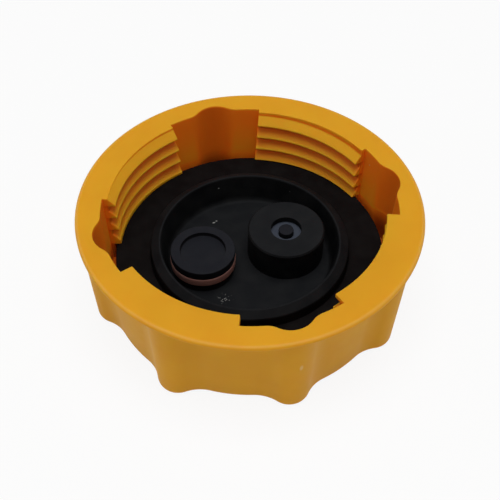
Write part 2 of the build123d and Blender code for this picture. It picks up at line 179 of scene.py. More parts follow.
class RadiatorCapInsert(bpy.types.PropertyGroup):
    """Sizes and colours of the seals, the valves and the carrier."""

    edge: length("Moulded edge", "Rounding of small moulded edges", 0.25)
    gasket_bore: length("Gasket bore", "Inner radius of the gasket", 25.1)
    pin_radius: length("Pin radius", "Pin in the port of the pressure valve", 1.9)
    stem_radius: length("Pressure stem", "Stem of the pressure poppet", 1.6)
    boss_radius: length("Poppet boss", "Boss that centres the pressure spring", 4.3)
    boss_height: length("Poppet boss height", "Height of that boss", 1.2)
    disc: length("Poppet disc", "Thickness of the poppet's disc", 1.4)
    rim_height: length("Poppet rim", "Rim of the poppet round its seal", 0.7)
    vacuum_stem: length("Vacuum stem", "Stem of the vacuum poppet", 1.5)
    groove: length("Clip groove", "Depth of the groove for the clip", 0.4)
    groove_low: length("Groove start", "Groove above the stem's end", 0.5)
    groove_width: length("Groove width", "Width of the groove", 0.6)
    recess_rim: length("Plate rim", "Width of the rim round the plate's recess", 2.35)
    recess_depth: length("Plate recess", "Depth of the recess in the plate", 1.2)
    pressure_wire: length("Pressure wire", "Thickness of the pressure spring's wire", 0.9)
    pressure_turns: FloatProperty(
        name="Pressure turns", description="Turns of the pressure spring", default=3.0, min=1.0
    )
    vacuum_wire: length("Vacuum wire", "Thickness of the vacuum spring's wire", 0.6)
    vacuum_turns: FloatProperty(
        name="Vacuum turns", description="Turns of the vacuum spring", default=2.5, min=1.0
    )
    carrier_colour: colour("Carrier", "Black of the moulded insert", "18191B")
    gasket_colour: colour("Gasket", "Black of the rubber gasket", "0D0A0A")
    poppet_colour: colour("Poppets", "Blue-black of the moulded poppets", "1C1D22")
    seal_colour: colour("Pressure seal", "Grey-blue of the pressure seal", "3F444F")
    brown_colour: colour("Vacuum seal", "Brown of the vacuum seal", "855E55")
    steel_colour: colour("Steel", "Colour of bare steel", "A5A5A8")
    dust_colour: colour("Dust", "Pale dust and nicks on the black parts", "A9A9A5")


class RadiatorCapStage(bpy.types.PropertyGroup):
    """The floor, the lights and the camera."""

    floor_size: length("Floor", "Half width of the floor", 3000.0)
    key_power: FloatProperty(
        name="Key", description="Power of the soft key", default=2.5, unit="POWER"
    )
    fill_power: FloatProperty(
        name="Fill", description="Power of each side fill", default=0.88, unit="POWER"
    )
    sky: FloatProperty(name="Sky", description="Strength of the even light", default=0.26)
    focal: FloatProperty(name="Lens", description="Focal length", default=71.04, unit="CAMERA")
    distance: length("Distance", "From the camera to its aim", 230.3)
    azimuth: degrees("Azimuth", "Camera's turn about the cap's axis", -16.1)
    elevation: degrees("Elevation", "Camera's rise over the floor", 48.41)
    roll: degrees("Roll", "Camera's turn about its own view", 0.535)


# Surfaces


def lobed_radius(angle, crest, depth, crest_round, foot_round, lobes):
    """Radius at each angle of a ring of lobes, and the angle where a lobe's foot ends.

    From the middle of a lobe it follows the crest's circle, radius crest_round and centred
    crest - crest_round out, to where that touches the foot's circle, then the foot's circle, and
    from its end the trough's circle about the axis.
    """
    trough = crest - depth
    crest_centre = crest - crest_round
    foot_centre = trough + foot_round
    span = crest_round + foot_round
    half = np.arccos(
        (crest_centre**2 + foot_centre**2 - span**2) / (2 * crest_centre * foot_centre)
    )
    share = crest_round / span
    meet_x = crest_centre + (foot_centre * np.cos(half) - crest_centre) * share
    meet_y = foot_centre * np.sin(half) * share
    step = 2 * np.pi / lobes
    turn = np.abs((angle + step / 2) % step - step / 2)
    across = np.maximum(crest_round**2 - (crest_centre * np.sin(turn)) ** 2, 0)
    on_crest = crest_centre * np.cos(turn) + np.sqrt(across)
    across = np.maximum(foot_round**2 - (foot_centre * np.sin(turn - half)) ** 2, 0)
    on_foot = foot_centre * np.cos(turn - half) - np.sqrt(across)
    outer = np.where(turn < half, on_foot, trough)
    return np.where(turn < np.arctan2(meet_y, meet_x), on_crest, outer), half


def vent_radius(size, angle):
    """Radius of the gaps with their vents at each angle, and the angle where a vent's foot ends."""
    depth = size.vent_crest - size.gap_radius
    rounds = size.vent_crest_round, size.vent_foot_round
    return lobed_radius(angle, size.vent_crest, depth, *rounds, BLOCKS)


def rounded(corners, cuts, closed, steps=5):
    """A profile whose corners are rounded: each corner is replaced by the parabola through two
    points that lie its cut before and after it, with the corner as the parabola's control point.
    A cut of 0 leaves the corner sharp."""
    corners = np.asarray(corners, float)
    cuts = np.asarray(cuts, float)[:, None]
    before = np.roll(corners, 1, 0) - corners
    after = np.roll(corners, -1, 0) - corners
    before /= np.linalg.norm(before, axis=1, keepdims=True)
    after /= np.linalg.norm(after, axis=1, keepdims=True)
    t = np.linspace(0, 1, steps)[None, :, None]
    start = (corners + before * cuts)[:, None]
    end = (corners + after * cuts)[:, None]
    curve = (1 - t) ** 2 * start + 2 * t * (1 - t) * corners[:, None] + t**2 * end
    if not closed:
        curve[0] = corners[0]
        curve[-1] = corners[-1]
    curve = curve.reshape(-1, 2)
    # Corners left sharp give the same point several times.
    step = np.linalg.norm(np.diff(curve, axis=0), axis=1)
    return curve[np.concatenate([[True], step > SAME_POINT])]


def grid_mesh(name, grid, wrap_rows=False, poles=False):
    """A smooth mesh from a grid of points that is closed round its columns.

    wrap_rows joins the last row to the first, as on a ring. poles closes the first and the last
    row with a fan to the row's mean point, which is on the axis.
    """
    rows, columns = grid.shape[:2]
    points = grid.reshape(-1, 3)
    row = np.arange(rows if wrap_rows else rows - 1)[:, None] * columns
    below = (row + columns) % (rows * columns)
    column = np.arange(columns)[None]
    onward = (column + 1) % columns
    faces = np.stack([row + column, row + onward, below + onward, below + column], -1)
    faces = faces.reshape(-1, 4).tolist()
    if poles:
        ends = np.stack([grid[0].mean(0), grid[-1].mean(0)])
        first, last = len(points), len(points) + 1
        points = np.concatenate([points, ends])
        column, onward = column[0], onward[0]
        low = np.stack([np.full(columns, first), onward, column], -1)
        top = (rows - 1) * columns
        high = np.stack([np.full(columns, last), top + column, top + onward], -1)
        faces += low.tolist() + high.tolist()
    mesh = bpy.data.meshes.new(name)
    mesh.from_pydata(points.tolist(), [], faces)
    return mesh


def placed(name, mesh, body, slot, material, *nodes):
    """The finished piece: merged, smooth, in the scene, riding on its body and standing for its
    nodes."""
    made = bpy.data.objects.new(name, mesh)
    bpy.context.collection.objects.link(made)
    weld = made.modifiers.new("Weld", "WELD")
    weld.merge_threshold = WELD_REACH
    mesh.shade_smooth()
    mesh.set_sharp_from_angle(angle=SHARP_ANGLE)
    even = made.modifiers.new("Even shading", "WEIGHTED_NORMAL")
    even.keep_sharp = True
    mesh.materials.append(material)
    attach(made, body)
    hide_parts(*nodes)
    return made


def round_box(low, high):
    """The middle, seen along the axis, and the radius of the round piece that fills a box."""
    return ((low + high) / 2)[:2], (high.x - low.x) / 2


def turned(name, corners, cuts, centre, closed, segments=144):
    """A mesh of a profile of radius and height turned about an upright axis: column by column
    the point is centre + radius * (cos, sin) of the column's angle. A closed profile makes a
    ring. An open one starts and ends on the axis."""
    profile = rounded(corners, cuts, closed)
    if not closed:
        profile = profile[1:-1]
    angle = np.linspace(0, 2 * np.pi, segments, endpoint=False)
    radius, level = profile[:, 0][:, None], profile[:, 1][:, None]
    x, y = centre[0] + radius * np.cos(angle), centre[1] + radius * np.sin(angle)
    grid = np.stack([x, y, level + 0 * angle], -1)
    return grid_mesh(name, grid, wrap_rows=closed, poles=not closed)


def coil(name, low, high, wire, turns, segments=48, sides=16):
    """A coil spring that fills a box, its ends ground flat at the box's lower and upper face.

    The middle of the wire is at mean radius * (cos, sin) of its angle and rises evenly with it.
    Round it runs a circle, which stands square to the wire and is cut off level at both ends.
    """
    centre = (low + high) / 2
    radius = (high.x - low.x - wire) / 2
    angle = np.linspace(0, 2 * np.pi * turns, round(segments * turns) + 1)[:, None]
    climb = np.arctan((high.z - low.z) / (2 * np.pi * turns * radius))
    round_wire = np.linspace(0, 2 * np.pi, sides, endpoint=False)[None]
    out = radius + wire / 2 * np.cos(round_wire)
    up = -wire / 2 * np.sin(round_wire)
    x = centre.x + out * np.cos(angle) + up * np.sin(climb) * np.sin(angle)
    y = centre.y + out * np.sin(angle) - up * np.sin(climb) * np.cos(angle)
    level = low.z + (high.z - low.z) * angle / angle[-1] + up * np.cos(climb)
    grid = np.stack([x, y, np.clip(level, low.z, high.z)], -1)
    return grid_mesh(name, grid, poles=True)


def thread_profile(size):
    """Radius of the block's face against height, at the angle where the helix phase is 0.

    Under each crest edge the face runs out along the flat load flank to the root, down the root,
    and back in along the slanted lead flank to the next crest. Corners are rounded.
    """
    # One crest above the rim and three below it.
    crest_edges = size.height - size.first_crest - size.pitch * np.arange(-1, 3)
    lead_end = size.pitch - size.crest_flat
    drops = np.array([0, size.load_drop, size.root_low, lead_end])
    radii = np.array([size.crest_radius, size.root_radius, size.root_radius, size.crest_radius])
    # Roundings at a crest's lower edge, both ends of the root and the next crest's upper edge.
    cuts = np.array([0.14, 0.2, 0.25, 0.12]) * MM
    # The profile runs on past the rim and the lip, for the helix shifts it up and down.
    past = 2.5 * MM
    level = (crest_edges[:, None] - drops).ravel()
    level = np.concatenate([[size.height + past], level, [size.lip - past]])
    radius = np.tile(radii, len(crest_edges))
    radius = np.concatenate([[size.crest_radius], radius, [size.crest_radius]])
    cuts = np.concatenate([[0], np.tile(cuts, len(crest_edges)), [0]])
    return rounded(np.stack([radius, level], -1), cuts, closed=False)


def shell_columns(size):
    """The columns of one quarter of the shell, centred on a gap, and where a vent's foot ends.

    Each has its turn at the rim, its place on the gap's side wall from 0 at the gap to 1 at the
    block, its place on the block's upright edge as how far it runs along and across, its place
    on the block from 0 at that edge to 1 at the middle of the block, and its side, -1 or 1.
    """
    half_gap = size.gap_angle / 2
    foot = vent_radius(size, np.zeros(1))[1]
    round_edge = np.linspace(0, np.pi / 2, EDGE_COLUMNS)
    parts = [
        # turn, wall, along, across, block
        (np.linspace(0, foot, VENT_COLUMNS), 0, 0, 0, 0),
        (np.linspace(foot + FOOT_STEP, half_gap, FLOOR_COLUMNS), 0, 0, 0, 0),
        (half_gap, np.array([0.3, 0.65]), 0, 0, 0),
        (half_gap, 1, 1 - np.cos(round_edge), 1 - np.sin(round_edge), 0),
        (half_gap, 1, 1, 0, np.linspace(0, 1, BLOCK_COLUMNS)[1:]),
    ]
    half = np.concatenate([np.stack(np.broadcast_arrays(*part)) for part in parts], axis=1)
    side = np.concatenate([-np.ones(half.shape[1] - 1), np.ones(half.shape[1] - 1)])
    columns = np.concatenate([half[:, :0:-1], half[:, :-1]], axis=1)
    return np.concatenate([columns, side[None]]), foot


def shell_grid(size):
    """The whole shell as one grid: column by column round the axis, and row by row from the
    middle of the closed top up the lobes, over the rim, down the thread and along the floor.

    Outside, a point's radius goes straight from the base's lobed outline to the rim's with its
    height. Inside, the rows of a block follow the helix, height = profile height + pitch times
    angle / full turn, held between lip and rim; the radius is the thread profile's there, no
    more than the slope over the lip, less the draft's share of the depth under the rim. A gap's
    columns stand on its drafted wall.
    """
    columns, foot = shell_columns(size)
    count = columns.shape[1]
    turn, wall, along, across, block, side = np.tile(columns, BLOCKS)
    quarter = np.repeat([0, 1, 2, -1], count) * np.pi / 2
    half_gap = size.gap_angle / 2
    mid_block = np.pi / BLOCKS
    slope = np.tan(size.gap_draft)
    leaning = np.tan(size.thread_draft)
    even = np.tile(np.linspace(-mid_block, mid_block, count, endpoint=False), BLOCKS) + quarter

    # The helix's angle, which passes smoothly back by one turn in the gap behind the -X side.
    angle = quarter + side * (turn + block * (mid_block - half_gap))
    behind = quarter == np.pi
    back = behind & (turn <= half_gap) & (block == 0)
    angle = np.where(back, -side * turn / half_gap * (np.pi - half_gap), angle)
    angle = np.where(behind & (block > 0) & (side > 0), angle - 2 * np.pi, angle)
    phase = size.pitch * angle / (2 * np.pi)

    profile = thread_profile(size)
    lead = (size.pitch - size.crest_flat - size.root_low) / (size.root_radius - size.crest_radius)

    def block_radius(level):
        face = np.interp(level - phase, profile[::-1, 1], profile[::-1, 0])
        over_lip = size.crest_radius + np.maximum(level - size.lip - size.crest_flat, 0) / lead
        return np.minimum(face, over_lip) - (size.height - level) * leaning

    vent = vent_radius(size, turn)[0]

    def inner(level, radius):
        """Points of the inner wall at the rows' levels, where the block's face has that radius."""
        sunk = (size.height - level) * slope
        gap = vent - sunk
        corner = radius + size.block_edge * across
        reach = gap + (corner - gap) * wall
        end = half_gap - np.arcsin(sunk / reach)
        on_gap = turn * end / half_gap
        on_edge = end + along * size.block_edge / reach
        on_block = on_edge + block * (mid_block - on_edge)
        return reach, quarter + side * np.where(wall > 0, on_block, on_gap)

    def spread(reach, around, level):
        return np.stack([reach * np.cos(around), reach * np.sin(around), level + 0 * reach], -1)

    def outward(ring):
        """Unit normals in the plane of a closed ring of points, pointing away from the axis."""
        run = np.roll(ring, -1, 0) - np.roll(ring, 1, 0)
        normal = np.stack([run[:, 1], -run[:, 0], 0 * run[:, 0]], -1)
        return normal / np.linalg.norm(normal, axis=1, keepdims=True)

    crest, depth = size.base_crest, size.base_depth
    rounds = size.base_crest_round, size.base_foot_round
    base = lobed_radius(even, crest, depth, *rounds, size.lobes)[0]
    crest, depth = size.rim_crest, size.rim_depth
    rounds = size.rim_crest_round, size.rim_foot_round
    rim = lobed_radius(even, crest, depth, *rounds, size.lobes)[0]

    def skirt(level):
        """The drafted, lobed outside at one level."""
        return spread(base + (rim - base) * level / size.height, even, level)

    # The closed top and the rounded edge round it.
    arc = np.linspace(0, np.pi / 2, EDGE_ROWS)
    level = size.base_edge * (1 - np.cos(arc))
    edge_rows = [
        skirt(z) - outward(skirt(z)) * size.base_edge * (1 - np.sin(t)) for t, z in zip(arc, level)
    ]
    rows = [edge_rows[0] * np.array([share, share, 1]) for share in (0.3, 0.6, 0.85, 0.97)]
    rows += edge_rows
    # The skirt, which turns out under the band in a hollow round: 1 mm, or less where the band
    # stands out less.
    under = size.height - size.band
    hollow_room = 1.2 * MM
    rows += [skirt(z) for z in np.linspace(size.base_edge, under - hollow_room, SKIRT_ROWS)[1:]]
    band_low = size.rim_radius - size.band_edge
    at_band = np.linalg.norm(skirt(under)[:, :2], axis=1)
    hollow = np.minimum(1.0 * MM, 0.6 * (band_low - at_band))
    low, high = skirt(0.0), skirt(size.height)
    for t in arc[::2]:
        z = under - hollow * (1 - np.sin(t))
        at = low + (high - low) * (z / size.height)[:, None]
        at += outward(at) * (hollow * (1 - np.cos(t)))[:, None]
        rows.append(np.stack([at[:, 0], at[:, 1], z], -1))
    # The band, the rim's outer edge, and the flat rim.
    for t in arc[::2]:
        reach = band_low + size.band_edge * np.sin(t)
        rows.append(spread(reach + 0 * even, even, under + size.band_edge * (1 - np.cos(t))))
    for t in arc:
        reach = size.rim_radius - size.rim_edge * (1 - np.cos(t))
        drop = size.rim_edge * (1 - np.sin(t))
        rows.append(spread(reach + 0 * even, even, size.height - drop))

    top = size.height - size.inner_edge
    reach, around = inner(top, block_radius(np.full(len(turn), top)))
    mouth = spread(reach, around, top)
    into = outward(mouth)
    for t in arc[::2]:
        at = mouth + into * size.inner_edge * (1 - np.sin(t))
        at[:, 2] = size.height - size.inner_edge * (1 - np.cos(t))
        if t == 0:
            flat = rows[-1]
            rows += [flat + (at - flat) * share for share in RIM_SHARES]
        rows.append(at)

    # The thread.
    lip_edge = 0.15 * MM
    level = profile[1:-1, 1][:, None] + phase[None]
    level = np.clip(level, size.lip + lip_edge, top)
    reach, around = inner(level, block_radius(level))
    rows += list(np.stack([reach * np.cos(around), reach * np.sin(around), level], -1))

    # The lip's underside and the bore behind it, down to the shelf.
    lip_radius = size.crest_radius - (size.height - size.lip) * leaning
    lip = rounded(
        [
            (lip_radius, size.lip + 1 * MM),
            (lip_radius, size.lip),
            (size.block_bore, size.lip),
            (size.block_bore, size.shelf),
        ],
        [0, lip_edge, lip_edge, 0],
        closed=False,
    )
    for radius, level in lip[1:]:
        rows.append(spread(*inner(level, radius + 0 * even), level))

    # The shelf, and past it in the vents their walls and floors, in to the chamber.
    in_vent = (wall == 0) & (turn < foot + FOOT_STEP / 2)
    # Each row's share of the way in, and in a vent of the way down and of the way in.
    steps = ((0.25, 0.5, 0.0), (0.5, 0.9, 0.0), (0.75, 1.0, 0.1), (1.0, 1.0, 1.0))
    for share, down, vent_share in steps:
        low = size.shelf - (size.shelf - size.vent_floor) * down
        level = np.where(in_vent, low, size.shelf)
        reach, around = inner(level, size.block_bore + 0 * even)
        inward = np.where(in_vent, vent_share, share)
        reach = reach + (size.chamber - reach) * inward
        around = around + (even - around) * share
        rows.append(spread(reach, around, level))
    # Each row's share of the chamber's radius, and how far it lies over the closed wall.
    for share, over in ((1.0, 0.3 * MM), (0.99, 0.0), (0.6, 0.0), (0.2, 0.0)):
        reach = size.chamber * share + 0 * even
        rows.append(spread(reach, even, size.closed_wall + over))
    return np.stack(rows)


# Finishes


def add(tree, kind, inputs=None, **settings):
    """One shader node of that kind with its settings. Each named input gets a value, or a link
    from a socket or from a node's first output."""
    made = tree.nodes.new("ShaderNode" + kind)
    for key, value in settings.items():
        setattr(made, key, value)
    for key, value in (inputs or {}).items():
        if isinstance(value, bpy.types.Node):
            value = value.outputs[0]
        if isinstance(value, bpy.types.NodeSocket):
            tree.links.new(value, made.inputs[key])
        else:
            made.inputs[key].default_value = value
    return made


def started(name):
    """An empty node tree in a new material, and where its pattern is read."""
    material = bpy.data.materials.new(name)
    material.use_nodes = True
    tree = material.node_tree
    tree.nodes.clear()
    return material, tree, add(tree, "TexCoord").outputs["Object"]


def darker(value, share):
    """A colour with that share of its light."""
    return tuple(channel * share for channel in value[:3]) + (1.0,)


def spots(tree, place, width, share, size):
    """A mask of sparse spots: cells of the given width, of which that share have a spot whose
    radius is the given part of a cell."""
    cell = add(tree, "TexVoronoi", {"Vector": place, "Scale": 1 / width, "Randomness": 1.0})
    apart = add(tree, "SeparateColor", {"Color": cell.outputs["Color"]})
    chosen = add(tree, "Math", {0: apart.outputs["Red"], 1: 1 - share}, operation="GREATER_THAN")
    far = cell.outputs["Distance"]
    dot = add(tree, "MapRange", {"Value": far, "From Min": size, "From Max": size * 0.5})
    return add(tree, "Math", {0: chosen, 1: dot}, operation="MULTIPLY")


def near(tree, place, centre, reach):
    """A mask that is 1 at a place and falls to 0 at the given reach along each axis."""
    moved = add(tree, "VectorMath", {0: place, 1: centre}, operation="SUBTRACT")
    scaled = add(tree, "VectorMath", {0: moved, 1: reach}, operation="DIVIDE")
    apart = add(tree, "VectorMath", {0: scaled}, operation="LENGTH").outputs["Value"]
    return add(tree, "MapRange", {"Value": apart, "From Min": 1.0, "From Max": 0.4})


def drifted(tree, value, low, high, first, second, most=1.0):
    """The first colour, which goes over into the second, by up to that share, as the value goes
    from low to high."""
    ends = {"From Min": low, "From Max": high, "To Max": most}
    share = add(tree, "MapRange", {"Value": value, **ends})
    both = {"Factor": share, "A": first, "B": second}
    return add(tree, "Mix", both, data_type="RGBA").outputs["Result"]


def dusted(tree, clean, dust, thickness, haze, insert):
    """The clean colour under specks of dust of the given thickness and under a thin haze."""
    thin = add(tree, "Math", {0: dust, 1: thickness}, operation="MULTIPLY")
    cover = add(tree, "Math", {0: thin, 1: haze}, operation="ADD")
    both = {"Factor": cover, "A": clean, "B": insert.dust_colour}
    return add(tree, "Mix", both, data_type="RGBA").outputs["Result"]


def surfaced(tree, paint, gloss, relief, strength, depth, values):
    """Ends a material: its colour, its gloss, a relief of that strength and depth, and what else
    its shader is given."""
    bump = add(tree, "Bump", {"Height": relief, "Strength": strength, "Distance": depth})
    own = {"Base Color": paint, "Roughness": gloss, "Normal": bump, **values}
    add(tree, "OutputMaterial", {"Surface": add(tree, "BsdfPrincipled", own)})


def yellow_polyamide(size):
    """Injection moulded polyamide 6, pigmented yellow: satin and a little translucent, with a fine
    eroded grain and broad, faint flow marks. Its hollows glow orange partly through that
    translucency and partly by painted bounce light and shade, and the rim's outer edge is painted
    paler as a highlight."""
    material, tree, place = started("yellow moulded polyamide")
    # Flow marks drift over about 14 mm, and the pigment is a little uneven over 2 mm.
    flow = add(tree, "TexNoise", {"Vector": place, "Scale": 1 / (14 * MM), "Detail": 3.0})
    mottle = add(tree, "TexNoise", {"Vector": place, "Scale": 1 / (2 * MM), "Detail": 4.0})
    paint = drifted(tree, flow, 0.35, 0.68, size.body_colour, size.flow_colour)
    # Painted bounce light and shade: by the hollow attribute the gap walls are painted orange, the
    # grooves red orange and the vent floors dark brown.
    hollow = add(tree, "Attribute", attribute_name="hollow").outputs["Fac"]
    paint = drifted(tree, hollow, 0.0, 0.5, paint, size.hollow_colour)
    paint = drifted(tree, hollow, 0.5, 1.0, paint, size.deep_shade_colour)
    paint = drifted(tree, hollow, 1.0, 2.0, paint, size.floor_colour)
    # One scuffed streak on the skirt and a few nicks a third of a millimetre wide.
    streak = near(tree, place, (0.6 * MM, -40.7 * MM, 17.4 * MM), (0.55 * MM, 2 * MM, 1.3 * MM))
    broken = add(tree, "MapRange", {"Value": mottle, "From Min": 0.25, "From Max": 0.45})
    scuff_and_edge_highlight = add(tree, "Math", {0: streak, 1: broken}, operation="MULTIPLY")
    nicks = spots(tree, place, 7 * MM, 0.12, 0.045)
    wear_and_highlight = add(tree, "Math", {0: scuff_and_edge_highlight, 1: nicks}, operation="MAXIMUM")
    # Painted highlight: the rim's outer edge is painted paler in the scuff colour, where light
    # would catch its rounding.
    edge = add(tree, "Attribute", attribute_name="scuff_and_edge_highlight").outputs["Fac"]
    faint = add(tree, "Math", {0: edge, 1: 0.3}, operation="MULTIPLY")
    wear_and_highlight = add(tree, "Math", {0: wear_and_highlight, 1: faint}, operation="MAXIMUM")
    paint = drifted(tree, wear_and_highlight, 0.0, 1.0, paint, size.scuff_and_highlight_colour, most=0.6)
    gloss = add(tree, "MapRange", {"Value": mottle, "To Min": 0.48, "To Max": 0.62})
    # Eroded grain of 0.1 mm, drawn at 0.35 mm so that it shows in the render.
    grain = add(tree, "TexNoise", {"Vector": place, "Scale": 1 / (0.35 * MM), "Detail": 2.0})
    values = {
        "IOR": 1.53,
        "Specular IOR Level": 0.12,
        "Subsurface Weight": 0.4,
        "Subsurface Radius": (1.0, 0.4, 0.1),
        "Subsurface Scale": 2.5 * MM,
    }
    surfaced(tree, paint, gloss, grain, 0.25, 0.03 * MM, values)
    return material


def black_plastic(name, base, insert, rough, marks=()):
    """Moulded glass-filled polyamide: near black, dull satin, with patches where the fibres come
    up duller, pale dust in specks and, at the marks, pale nicks. Faces that don't look up are
    painted darker as shade."""
    material, tree, place = started(name)
    # Fibre-rich patches are about 5 mm wide.
    patch = add(tree, "TexNoise", {"Vector": place, "Scale": 1 / (5 * MM), "Detail": 4.0})
    dust = spots(tree, place, 2.6 * MM, 0.02, 0.07)
    for centre, reach, filled in marks:
        # Nicks of 0.2 mm, close together, or one longer nick.
        local = near(tree, place, centre, reach)
        if not filled:
            close = spots(tree, place, 0.5 * MM, 0.65, 0.34)
            local = add(tree, "Math", {0: close, 1: local}, operation="MULTIPLY")
        dust = add(tree, "Math", {0: dust, 1: local}, operation="MAXIMUM")
    ends = {"From Min": 0.4, "From Max": 0.75, "To Max": 0.012}
    grey = add(tree, "MapRange", {"Value": patch, **ends})
    # Painted shade: faces that look up keep the base black, and the rest are painted darker, at 0.4
    # of it.
    normal = add(tree, "TexCoord").outputs["Normal"]
    up = add(tree, "SeparateXYZ", {"Vector": normal}).outputs["Z"]
    painted_facing_shade = drifted(tree, up, 0.78, 0.97, darker(base, 0.4), base)
    paint = dusted(tree, painted_facing_shade, dust, 0.7, grey, insert)
    gloss = add(tree, "MapRange", {"Value": patch, "To Min": rough - 0.08, "To Max": rough + 0.1})
    # Moulded grain of 0.1 mm, drawn at 0.3 mm so that it shows in the render.
    grain = add(tree, "TexNoise", {"Vector": place, "Scale": 1 / (0.3 * MM), "Detail": 2.0})
    surfaced(tree, paint, gloss, grain, 0.3, 0.03 * MM, {"IOR": 1.5, "Specular IOR Level": 0.03})
    return material


def pressed_rubber(name, base, rough, bloom, insert):
    """Pressed rubber: matt, with a dry bloom in soft patches and a trace of dust."""
    material, tree, place = started(name)
    # Bloom lies in patches about 4 mm wide.
    patch = add(tree, "TexNoise", {"Vector": place, "Scale": 1 / (4 * MM), "Detail": 5.0})
    ends = {"From Min": 0.35, "From Max": 0.8, "To Max": bloom}
    haze = add(tree, "MapRange", {"Value": patch, **ends})
    dust = spots(tree, place, 3 * MM, 0.03, 0.07)
    paint = dusted(tree, base, dust, 0.5, haze, insert)
    gloss = add(tree, "MapRange", {"Value": patch, "To Min": rough - 0.06, "To Max": rough + 0.1})
    # The mould's ground face leaves marks 0.2 mm apart, drawn at 0.4 mm.
    grain = add(tree, "TexNoise", {"Vector": place, "Scale": 1 / (0.4 * MM), "Detail": 3.0})
    surfaced(tree, paint, gloss, grain, 0.35, 0.03 * MM, {"IOR": 1.52, "Specular IOR Level": 0.03})
    return material


def bare_steel(name, base, line):
    """Bare steel, drawn or stamped: grey metal with fine drawing lines and dull oiled patches."""
    material, tree, place = started(name)
    stretched = add(tree, "Mapping", {"Vector": place, "Scale": (1.0, 1.0, 6.0)})
    lines = add(tree, "TexNoise", {"Vector": stretched, "Scale": 1 / line, "Detail": 3.0})
    gloss = add(tree, "MapRange", {"Value": lines, "To Min": 0.22, "To Max": 0.42})
    paint = drifted(tree, lines, 0.45, 0.8, base, darker(base, 0.45), most=0.35)
    surfaced(tree, paint, gloss, lines, 0.2, 0.01 * MM, {"Metallic": 1.0})
    return material


def finish_node(node, material):
    """Gives a node that keeps its own solid its finish."""
    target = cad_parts[node]
    if not target.material_slots:
        target.data.materials.append(material)
    for slot in target.material_slots:
        slot.material = material


def seen_directly(tree):
    """1 for a ray of the camera, and for one that a glossy or clear surface sends on, else 0."""
    path = add(tree, "LightPath")
    seen = path.outputs["Is Camera Ray"]
    for other in ("Is Glossy Ray", "Is Transmission Ray"):
        seen = add(tree, "Math", {0: seen, 1: path.outputs[other]}, operation="MAXIMUM")
    return seen


def poppet_plastic(insert):
    """The finish of both poppets, made once."""
    name = "black moulded acetal"
    ready = bpy.data.materials.get(name)
    return ready or black_plastic(name, insert.poppet_colour, insert, 0.46)


# Operators


def mark_painted_light(mesh, grid, size):
    """Writes for each point of the shell how deep in a hollow it lies, which sets its painted shade
    and bounce light, and how much painted highlight it gets at the rim's outer edge.

    In the thread, hollow is 2.2 less 2.8 times the least rise, as a share of a right angle, from
    the point to a point above it in its column that stands further in, and on the thread's
    upright roots at least 0.62. On the gap walls it is 0.62 and goes up to 1 where the vent
    reaches deepest. Both fade on faces that look up. From 1 mm over the gasket down it grows by
    up to 1 within 5 mm, as painted shade under the insert. The painted highlight falls from 1 to 0
    with the distance from the rim's outer edge. The rest is 0.
    """
    reach = np.hypot(grid[..., 0], grid[..., 1])
    level = grid[..., 2]
    facing = np.empty(len(mesh.vertices) * 3)
    mesh.vertices.foreach_get("normal", facing)
    up = facing[2::3][: reach.size].reshape(reach.shape)
    # The inside starts two rows past those across the flat rim.
    rim_row = np.argmax((level > size.height - SAME_LEVEL).any(1))
    first = rim_row + len(RIM_SHARES) + 2
    inner, low, up = reach[first:], level[first:], up[first:]
    run = inner[:, None] - inner[None]
    rise = low[None] - low[:, None]
    apart = 0.02 * MM
    above = (rise > apart) & (run > apart)
    least = np.where(above, np.arctan2(rise, run), np.pi / 2).min(1)
    groove = np.clip(2.8 * (1 - least / (np.pi / 2)) - 0.6, 0, 1)
    gap = np.clip((inner - size.root_radius) / (size.gap_radius - size.root_radius), 0, 1)
    sunk = (inner - size.crest_radius) / (size.root_radius - size.crest_radius)
    upright = 0.62
    root = upright * (1 - gap) * np.clip(2 * sunk - 1, 0, 1) * np.clip(1 - 2 * up, 0, 1)
    vent = np.clip((inner - size.gap_radius) / (size.vent_crest - size.gap_radius), 0, 1)
    wall = (upright * gap + (1 - upright) * vent) * np.clip(2.2 - 2.4 * up, 0.15, 1)
    top = np.clip((size.height - low) / (2 * size.inner_edge), 0, 1)
    hollow = np.zeros(reach.shape)
    hollow[first:] = np.maximum(np.maximum(groove, root), wall) * top
    # Painted shade: the vent floors under the gasket are painted darker towards the bottom.
    shade_start, shade_depth = GASKET_HIGH.z + 1 * MM, 5 * MM
    hollow[first:] += np.clip((shade_start - low) / shade_depth, 0, 1)
    # Painted highlight along the rim's outer edge.
    away = np.hypot(reach - size.rim_radius + size.rim_edge / 2, level - size.height)
    scuff_and_edge_highlight = np.clip(1.3 - away / (0.4 * MM), 0, 1)
    for name, values in (("hollow", hollow), ("scuff_and_edge_highlight", scuff_and_edge_highlight)):
        values = np.concatenate([values.ravel(), [0, 0]])
        mesh.attributes.new(name, "FLOAT", "POINT").data.foreach_set("value", values)


class RADIATORCAP_OT_shell(bpy.types.Operator):
    """Build the moulded shell with its lobes, thread blocks and vents"""

    bl_idname = "radiatorcap.shell"
    bl_label = "Shell"

    def execute(self, context):
        size = context.scene.radiator_cap_shell
        grid = shell_grid(size)
        mesh = grid_mesh("shell", grid, poles=True)
        mark_painted_light(mesh, grid, size)
        placed("shell", mesh, "shell", "cap_shell", yellow_polyamide(size), "cap_shell")
        return {"FINISHED"}


